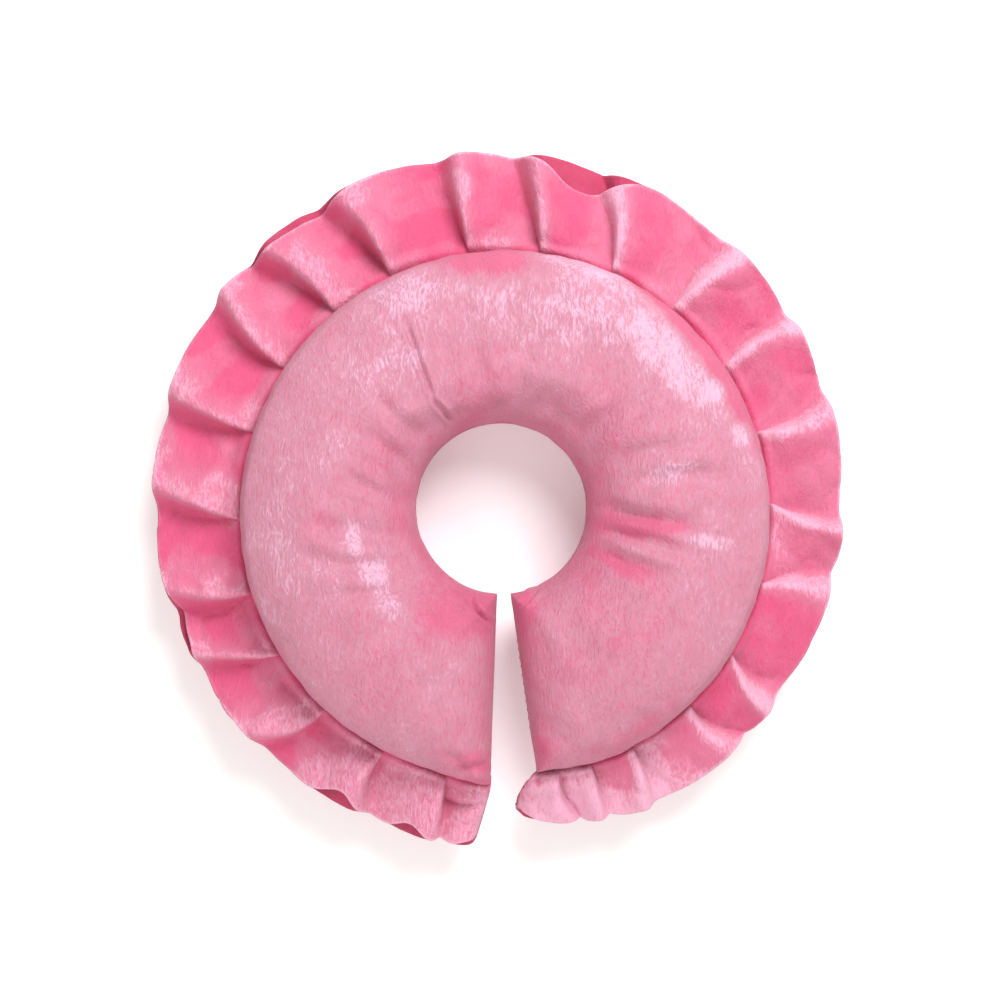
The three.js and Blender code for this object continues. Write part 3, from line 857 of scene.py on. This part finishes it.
# The folds: bearings in degrees of the ridge at the seam and at the free edge, its height in mm, and how
# far in mm the steep side falls away from it at the free edge.
FOLDS = [
    (-78, -77, 8, 5), (-71, -72, 8, 5), (-61.4, -64, 12, 6), (-46.4, -45.6, 9, 10), (-32.4, -37.9, 12, 14),
    (-16.2, -15.5, 7, 15), (1, -3.7, 11, 10), (16.5, 16.5, 12, 14), (32.4, 31, 11, 10), (49.4, 45.7, 13, 19),
    (64.6, 71, 10, 6), (81, 84.1, 15, 13), (97, 96.9, 14, 11), (115.1, 117.2, 16, 14), (130.1, 132, 14, 13),
    (147.1, 141.7, 13, 11), (162.7, 160.3, 11, 10), (182.2, 176.2, 11, 11), (198.6, 193.2, 11, 16),
    (213.2, 204.8, 9, 10), (228.7, 221.5, 11, 11), (244, 243.8, 14, 8), (258, 257.8, 12, 5),
]  # fmt: skip

# Where the front leaf's edge is drawn in: bearing, depth in mm, half width in degrees.
FRONT_NOTCHES = [
    (76, 15, 6.5), (126, 5, 9), (200, 4, 6), (240.5, 8, 3), (254, 6, 2.5), (265, 3, 2.5), (-86, 3, 2)
]  # fmt: skip


def ray_to_circle(bearing, centre, radius):
    """Where a ray from the hole's centre at each bearing meets a circle."""
    direction = np.stack([np.cos(np.radians(bearing)), np.sin(np.radians(bearing))], axis=-1)
    back = direction @ (centre - HOLE_CENTRE)
    offset = float((centre - HOLE_CENTRE) @ (centre - HOLE_CENTRE))
    travel = back + np.sqrt(back**2 - offset + radius**2)
    return HOLE_CENTRE + direction * travel[..., None], direction


def fold_knots(reach, ends):
    """The folds at one reach as knots: column, bearing, height and push outwards in mm, and lay of nap,
    which paints sheen on the ridges and shade in the troughs.
    From each ridge the leaf falls to a trough, and then rises over a facet and a shoulder to the next."""
    chance = np.random.default_rng(7)
    bows = np.random.default_rng(11).uniform(-FOLD_BOW, FOLD_BOW, len(FOLDS)) * math.sin(math.pi * reach)
    grown = (1 - math.exp(-reach / FOLD_GROWTH)) / (1 - math.exp(-1 / FOLD_GROWTH))
    radius = SEAM_RADIUS + RUFFLE_REACH * reach
    crests = [root + (edge - root) * reach + bow for (root, edge, _, _), bow in zip(FOLDS, bows)]
    heights = [height for _, _, height, _ in FOLDS]
    end = (ends[1], LAST_HEIGHT)
    knots = [(0, ends[0], END_HEIGHT, 0.0, END_NAP)]
    column = STEEP_COLUMNS
    for k, (crest, height) in enumerate(zip(crests, heights)):
        following, next_height = (crests[k + 1], heights[k + 1]) if k + 1 < len(FOLDS) else end
        steep = FOLDS[k][3] * MM
        fall = math.degrees(steep * (FALL_START + (1 - FALL_START) * reach) / radius)
        trough = crest + min(fall, WIDEST_FALL * (following - crest))
        dent, pale, bulge = chance.uniform(-1, 1, 3)
        facet = trough + (FACET_AT + FACET_SHIFT * dent) * (following - trough)
        shoulder = trough + SHOULDER_AT * (following - trough)
        # lit paints the steep side and trough paler, and the shoulder deeper, where the fold turns to the
        # light
        lit = smooth_step(math.cos(math.radians(crest)), *LIT)
        push = (RIDGE_PUSH + RIDGE_UNEVEN * bulge) * reach
        knots.append((column, crest, height * grown, push, RIDGE_SHEEN_NAP))
        halfway = HALFWAY_HEIGHT * height * grown
        steep_nap_and_light = STEEP_SHADE_NAP + STEEP_LIT_NAP * lit
        knots.append((column + STEEP_COLUMNS // 2, (crest + trough) / 2, halfway, 0.0, steep_nap_and_light))
        column += STEEP_COLUMNS
        low = TROUGH_HEIGHT * height * grown
        knots.append((column, trough, low, TROUGH_PUSH * reach, STEEP_SHADE_NAP + TROUGH_LIT_NAP * lit))
        column += FACET_COLUMNS // 2
        middle = (FACET_HEIGHT * height + FACET_NEXT_HEIGHT * next_height + FACET_DENT * dent) * grown
        facet_nap = FACET_NAP + FACET_NAP_UNEVEN * pale
        knots.append((column, facet, middle, (FACET_PUSH + bulge) * reach, facet_nap))
        column += FACET_COLUMNS // 3
        high = (SHOULDER_HEIGHT * next_height + SHOULDER_DENT * pale) * grown
        shoulder_nap_and_light = SHOULDER_SHEEN_NAP + SHOULDER_LIT_NAP * lit + FACET_NAP_UNEVEN * pale
        knots.append((column, shoulder, high, SHOULDER_PUSH * reach, shoulder_nap_and_light))
        column += FACET_COLUMNS // 2 - FACET_COLUMNS // 3
    knots.append((column, ends[1], END_HEIGHT, 0.0, END_NAP))
    return np.array(knots).T


def smooth_columns(values, sigma):
    """A running average along the columns, with the ends held."""
    half = int(3 * sigma) + 1
    weights = np.exp(-0.5 * (np.arange(-half, half + 1) / sigma) ** 2)
    before = 2 * values[0] - values[half:0:-1]
    after = 2 * values[-1] - values[-2 : -half - 2 : -1]
    return np.convolve(np.concatenate([before, values, after]), weights / weights.sum(), "valid")


def edge_radius(bearing, notches):
    """The free edge's radius: it narrows towards the right end, and is drawn in at the notches."""
    from_right = np.clip((bearing - RIGHT_END) / NARROW_ARC, 0, 1)
    from_left = np.clip((LEFT_END - bearing) / WIDE_ARC, 0, 1)
    radius = EDGE_RADIUS - NARROW_BY * (1 - from_right) ** NARROW_CURVE + WIDE_BY * (1 - from_left)
    for end, inwards in ((RIGHT_END, 1), (LEFT_END, -1)):
        along = inwards * (bearing - end) * math.radians(1) * EDGE_RADIUS
        corner = np.clip(1 - along / CORNER_ROUNDING, 0, 1)
        radius -= CORNER_DEPTH * (1 - np.sqrt(1 - corner**2))
    for at, depth, half in notches:
        radius -= depth * MM * np.exp(-np.abs((bearing - at) / half) ** NOTCH_SHARPNESS)
    return radius


def folds_at(reach, ends):
    """Bearing, height, push outwards and nap, with its painted light, of each column of the leaf at one
    reach.
    """
    knots = fold_knots(reach, ends)
    columns = np.arange(int(knots[0][-1]) + 1)
    sigma = ROOT_COLUMNS + EDGE_COLUMNS * reach**1.5
    sigmas = (sigma, sigma, sigma, NAP_COLUMNS * sigma)
    return [smooth_columns(np.interp(columns, knots[0], row), over) for row, over in zip(knots[1:], sigmas)]


def leaf_plan(bearing, push, reach, from_right, notches):
    """The leaf's plan at one reach, and the direction outwards at each column."""
    seam, _ = ray_to_circle(bearing, SEAM_CENTRE, np.full(len(bearing), SEAM_RADIUS))
    seam = shift_corners(seam)
    free, direction = ray_to_circle(bearing, EDGE_CENTRE, edge_radius(bearing, notches))
    plan = seam + (free - seam) * float(reach) + direction * (push * MM)[:, None]
    sideways = np.stack([-direction[:, 1], direction[:, 0]], axis=-1)
    near_end = np.clip(1 - from_right / END_BULGE_ARC, 0, 1) ** 2
    out = max(float(reach), 0.0)
    plan -= sideways * (END_BULGE * math.sin(math.pi * out**0.7) * near_end)[:, None]
    return plan, direction


def crumples(flat, out, seed):
    """Small uneven rises of the leaf in mm, and the fine lines that are creased into it."""
    broad = smooth_noise(flat, BROAD_CRUMPLE, seed) * (BROAD_HEIGHT * out)
    rise = broad + smooth_noise(flat, WAVE_CRUMPLE, seed + 1) * (WAVE_HEIGHT * out)
    short = smooth_noise(flat, SHORT_CRUMPLE, seed + 2) * SHORT_HEIGHT
    rise += short * math.exp(-(((out - SHORT_REACH) / SHORT_REACH) ** 2))
    lines = np.abs(smooth_noise(flat, LINE_CRUMPLE, seed + 4))
    return rise - LINE_DEPTH * out * (1 - np.minimum(1, LINE_FINENESS * lines))


def seam_lip(near_right, out):
    """How far in mm the gathers lift the leaf just outside the seam."""
    lip = ROOT_LIP * math.exp(-(((out - ROOT_LIP_AT) / ROOT_LIP_SPREAD) ** 2))
    more = END_LIP * near_right * math.exp(-(((out - END_LIP_AT) / END_LIP_SPREAD) ** 2))
    return lip + more * min(1, out * END_LIP_START)


def leaf_nap_and_light(nap_and_light, flat, direction, bearing, near_right, out, seed):
    """How the leaf's nap lies: as its folds say, brushed in patches, and ruffled up beside the seam; with
    painted shade in the pits and the seam's groove, painted sheen towards -Y, and capped paler on the side
    turned to the light.
    """
    ruffled = smooth_step(smooth_noise(flat, FUZZ_SIZE, seed + 5), -0.1, 0.3)
    fuzz_and_pit_shade = FUZZ * math.exp(-out / FUZZ_REACH) * ruffled
    # painted shade in the pits between the right end's gathers
    pit_shade_mask = smooth_step(np.sin(bearing * PIT_TURN), 0, 0.5)
    fuzz_and_pit_shade -= PIT_SHADE * near_right * math.exp(-(((out - PIT_REACH) / PIT_SPREAD) ** 2)) * pit_shade_mask
    # painted sheen on the side towards -Y, and painted shade in the seam's groove
    low = (LOW_SIDE_SHEEN + LOW_SIDE_SHEEN_OUT * out) * smooth_step(-direction[:, 1], *LOW_SIDE)
    low -= ROOT_SHADE * math.exp(-out / ROOT_SHADE_REACH)
    lit = smooth_step(direction[:, 0], *LIT)
    patches = 2 * smooth_step(smooth_noise(flat, NAP_PATCH_SIZE, seed + 3), *NAP_PATCH_EDGE) - 1
    lay_and_light = nap_and_light + (NAP_PATCH - NAP_PATCH_LIT * lit) * patches
    lay_and_light = lay_and_light + NAP_GRAIN * smooth_noise(flat, NAP_GRAIN_SIZE, seed + 6) + fuzz_and_pit_shade + low
    # capped lower away from the light, a painted shade, and paler at the cut edge
    return np.minimum(lay_and_light, PALEST + PALEST_LIT * lit) + CUT_EDGE_PALE * smooth_step(out, *CUT_EDGE)


def leaf_grid(notches, depth_of_folds, spread, seed):
    """The leaf as rows from inside the seam out to the free edge, and how its nap lies, with its painted
    light.
    """
    inside = np.linspace(-RUFFLE_INSIDE / RUFFLE_REACH, 0, INSIDE_ROWS + 1)[:-1]
    reaches = np.concatenate([inside, np.linspace(0, 1, REACH_ROWS) ** REACH_CROWDING])
    seam_ends = [
        math.degrees(bearing_of(meet_circle(line, SEAM_CENTRE, SEAM_RADIUS), HOLE_CENTRE))
        for line in (RIGHT_LINE, LEFT_LINE)
    ]
    seam_ends[1] += 360
    points, naps_and_light = [], []
    for reach in reaches:
        out = max(float(reach), 0.0)
        ends = [seam + (edge - seam) * out for seam, edge in zip(seam_ends, (RIGHT_END, LEFT_END))]
        bearing, height, push, nap_and_light = folds_at(out, ends)
        plan, direction = leaf_plan(bearing, push, reach, bearing - ends[0], notches)
        flat = np.concatenate([plan, np.zeros((len(plan), 1))], axis=1)
        near_right = np.exp(-(((bearing - ends[0]) / END_LIP_ARC) ** 2))
        lift = depth_of_folds * height + crumples(flat, out, seed) + seam_lip(near_right, out)
        lift = lift - DROOP * out**DROOP_CURVE - spread * out + end_curl(bearing, out, ends)
        points.append(np.concatenate([plan, (SEAM_Z + lift * MM)[:, None]], axis=1))
        naps_and_light.append(leaf_nap_and_light(nap_and_light, flat, direction, bearing, near_right, out, seed))
    return np.array(points), np.clip(np.array(naps_and_light), 0, 1)


def end_curl(bearing, reach, ends):
    """How far in mm the leaf turns down at its two ends, and is gathered and pinched there, at one reach."""
    arc = math.radians(1) * (SEAM_RADIUS + RUFFLE_REACH * reach) / MM
    right = np.clip(1 - (bearing - ends[0]) * arc / RIGHT_ROLL_WIDTH, 0, 1)
    left = np.clip(1 - (ends[1] - bearing) * arc / LEFT_ROLL_WIDTH, 0, 1)
    rolled = RIGHT_ROLL * (1 - np.sqrt(1 - right**2)) + LEFT_ROLL * (1 - np.sqrt(1 - left**2))
    waves = np.sin(np.radians((bearing - GATHER_START) * 360 / GATHER_PITCH))
    waves *= np.exp(-(((bearing - GATHER_MIDDLE) / GATHER_SPREAD) ** 2))
    gathers = GATHER_HEIGHT * waves * reach * ROLL_START * math.exp(-reach / FOLD_GROWTH)
    pinch = PINCH * np.exp(-(((bearing - PINCH_BEARING) / PINCH_SPREAD) ** 2))
    pinch *= math.exp(-(((reach - PINCH_REACH) / PINCH_WIDTH) ** 2))
    return gathers - rolled * min(1, reach * ROLL_START) - pinch


def grid_faces(rows, columns):
    index = np.arange(rows * columns).reshape(rows, columns)
    return [
        (int(index[i, j]), int(index[i + 1, j]), int(index[i + 1, j + 1]), int(index[i, j + 1]))
        for i in range(rows - 1)
        for j in range(columns - 1)
    ]


def leaf(name, grid, nap_and_light, pile_side):
    """A leaf as cloth. Its pile is on the upper (+1) or the lower (-1) side, its backing on the other,
    coloured darker as painted shade.
    """
    rows, columns = grid.shape[:2]
    obj = new_object(name, grid.reshape(-1, 3), grid_faces(rows, columns))
    store(obj, "nap_and_light", nap_and_light.ravel())
    subdivision = obj.modifiers.new("fine", "SUBSURF")
    subdivision.levels = subdivision.render_levels = 1
    subdivision.boundary_smooth = "PRESERVE_CORNERS"
    solidify = obj.modifiers.new("thickness", "SOLIDIFY")
    solidify.thickness = RUFFLE_CLOTH
    solidify.offset = 0
    apply_modifiers(obj)
    obj.data.polygons.foreach_set("use_smooth", [True] * len(obj.data.polygons))
    normals = np.zeros(len(obj.data.vertices) * 3)
    obj.data.vertices.foreach_get("normal", normals)
    # where the backing faces, whose dark colour paints the shade on the back leaf
    store(obj, "backing_and_shade", smooth_step(-pile_side * normals[2::3], -0.1, 0.1))
    return obj


def ruffle():
    """The front leaf, and the back leaf that follows its folds underneath."""
    front, front_nap_and_light = leaf_grid(FRONT_NOTCHES, 1.0, 0.0, RUFFLE_SEED)
    rear, rear_nap_and_light = leaf_grid([], REAR_FOLDS, REAR_SPREAD, RUFFLE_SEED)
    front[..., 2] += LEAF_GAP / 2
    rear[..., 2] -= LEAF_GAP / 2
    front_leaf = leaf("front_ruffle_plush", front, front_nap_and_light, 1)
    rear_leaf = leaf("back_ruffle_plush", rear, rear_nap_and_light, -1)
    return front_leaf, rear_leaf


# ---------------------------------------------------------------- putting it together


def main():
    add_camera()
    add_world()
    add_floor()
    for light in LIGHTS:
        add_light(*light)
    bpy.context.scene.view_settings.view_transform = "Standard"

    face, back, fill = body()
    front, rear = ruffle()

    body_plush = plush("body_plush", *BODY_PLUSH)
    ruffle_plush = plush("ruffle_plush", *RUFFLE_PLUSH)
    thread = plain_cloth("sewing_thread", *THREAD)
    fibre = plain_cloth("polyester_fibre", *FIBRE)

    for piece, look, node, slot in (
        (face, body_plush, "face_panel", "face_plush"),
        (back, body_plush, "back_panel", "back_plush"),
        (front, ruffle_plush, "ruffle_front_leaf", "ruffle_plush"),
        (rear, ruffle_plush, "ruffle_back_leaf", "ruffle_plush"),
        (fill, fibre, "fibre_filling", "filling"),
        (closing_stitch(), thread, "closing_stitch_thread", "thread"),
    ):
        piece.data.materials.clear()
        piece.data.materials.append(look)
        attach(piece, "root")
        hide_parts(node)

    for name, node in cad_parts.items():
        if name.endswith(("_thread", "_tack")):
            node.data.materials.clear()
            node.data.materials.append(thread)


main()
